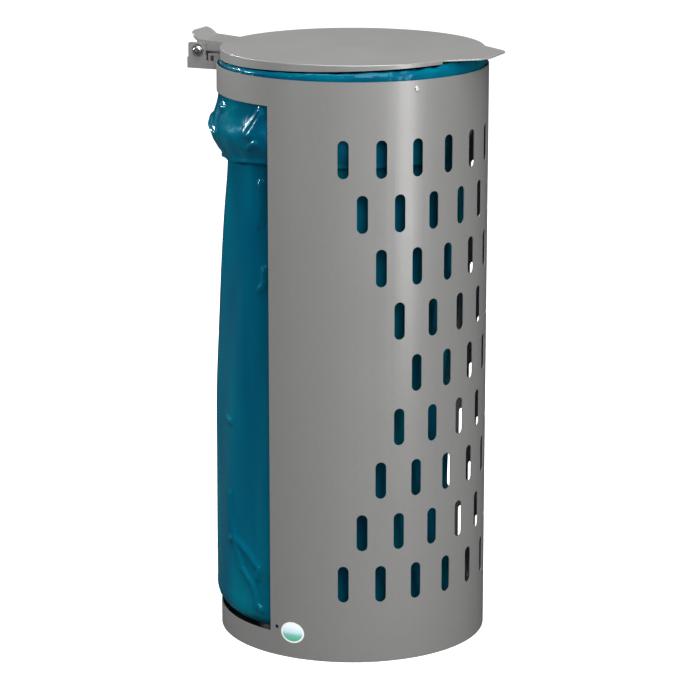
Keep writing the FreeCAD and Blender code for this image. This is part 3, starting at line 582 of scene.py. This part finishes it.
def floor_material():
    """Matt ground: pale to the camera, dimmer to everything else."""
    material, tree, shader = new_material("pale_floor")
    shader.inputs["Roughness"].default_value = 0.9
    shader.inputs["Specular IOR Level"].default_value = 0.0
    shader.inputs["Emission Color"].default_value = (1, 1, 1, 1)
    rays = tree.nodes.new("ShaderNodeLightPath")
    seen = tree.nodes.new("ShaderNodeMapRange")
    seen.inputs["To Max"].default_value = FLOOR_SEEN
    tree.links.new(rays.outputs["Is Camera Ray"], seen.inputs["Value"])
    in_gloss = tree.nodes.new("ShaderNodeMapRange")
    in_gloss.inputs["To Min"].default_value = FLOOR_BOUNCE
    in_gloss.inputs["To Max"].default_value = FLOOR_IN_GLOSS
    tree.links.new(rays.outputs["Is Glossy Ray"], in_gloss.inputs["Value"])
    tree.links.new(in_gloss.outputs["Result"], seen.inputs["To Min"])
    tree.links.new(seen.outputs["Result"], shader.inputs["Base Color"])
    place = tree.nodes.new("ShaderNodeTexCoord")
    away = tree.nodes.new("ShaderNodeVectorMath")
    away.operation = "LENGTH"
    spread = tree.nodes.new("ShaderNodeMapRange")
    for name, value in zip(("From Min", "From Max", "To Min", "To Max"), FLOOR_LIFT):
        spread.inputs[name].default_value = value
    lift = tree.nodes.new("ShaderNodeMath")
    lift.operation = "MULTIPLY"
    tree.links.new(place.outputs["Object"], away.inputs[0])
    tree.links.new(away.outputs["Value"], spread.inputs["Value"])
    tree.links.new(spread.outputs["Result"], lift.inputs[1])
    tree.links.new(rays.outputs["Is Camera Ray"], lift.inputs[0])
    tree.links.new(lift.outputs["Value"], shader.inputs["Emission Strength"])
    return material


def make_floor():
    """A wide ground just under the bin's foot."""
    mesh = bpy.data.meshes.new("floor")
    half = FLOOR_HALF
    mesh.from_pydata([(-half, -half, 0), (half, -half, 0), (half, half, 0), (-half, half, 0)], [],
                     [(0, 1, 2, 3)])
    floor = add_object("floor", mesh)
    floor.location.z = -FLOOR_DROP
    mesh.materials.append(floor_material())


def white_light(tree, strength):
    """White light of this strength from all round."""
    light = tree.nodes.new("ShaderNodeBackground")
    light.inputs["Color"].default_value = (1, 1, 1, 1)
    light.inputs["Strength"].default_value = strength
    return light


def make_world():
    """White behind the bin, with little light from all round and less in reflections."""
    world = bpy.data.worlds.new("studio")
    bpy.context.scene.world = world
    world.use_nodes = True
    tree = world.node_tree
    tree.nodes.clear()
    light = white_light(tree, AMBIENT)
    white = white_light(tree, BACKGROUND)
    dim = white_light(tree, REFLECTED)
    rays = tree.nodes.new("ShaderNodeLightPath")
    in_gloss = tree.nodes.new("ShaderNodeMixShader")
    mix = tree.nodes.new("ShaderNodeMixShader")
    output = tree.nodes.new("ShaderNodeOutputWorld")
    tree.links.new(rays.outputs["Is Glossy Ray"], in_gloss.inputs["Fac"])
    tree.links.new(light.outputs["Background"], in_gloss.inputs[1])
    tree.links.new(dim.outputs["Background"], in_gloss.inputs[2])
    tree.links.new(rays.outputs["Is Camera Ray"], mix.inputs["Fac"])
    tree.links.new(in_gloss.outputs["Shader"], mix.inputs[1])
    tree.links.new(white.outputs["Background"], mix.inputs[2])
    tree.links.new(mix.outputs["Shader"], output.inputs["Surface"])


def aimed(place, target):
    """The rotation that makes a lamp or a camera at this place face the target."""
    return (target - place).to_track_quat("-Z", "Y").to_euler()


def make_light(name, azimuth, elevation, distance, width, height, power):
    """A soft box that faces the middle of the bin, at an azimuth from the front."""
    a, e = math.radians(azimuth), math.radians(elevation)
    direction = Vector((math.sin(a) * math.cos(e), -math.cos(a) * math.cos(e), math.sin(e)))
    lamp = bpy.data.lights.new(name, "AREA")
    lamp.shape = "RECTANGLE"
    lamp.size, lamp.size_y = width, height
    lamp.energy = power
    thing = add_object(name, lamp)
    thing.location = LAMP_TARGET + distance * direction
    thing.rotation_euler = aimed(thing.location, LAMP_TARGET)


def make_camera():
    """A long lens at the photograph's viewing angle."""
    data = bpy.data.cameras.new("camera")
    data.sensor_width = CAMERA_SENSOR
    data.lens = CAMERA_LENS
    camera = add_object("camera", data)
    camera.location = CAMERA_PLACE
    camera.rotation_euler = aimed(CAMERA_PLACE, CAMERA_AIM)
    bpy.context.scene.camera = camera


make_floor()
make_world()
for name, setting in LAMPS.items():
    make_light(name, *setting)
make_camera()

scene = bpy.context.scene
scene.view_settings.view_transform = "Standard"
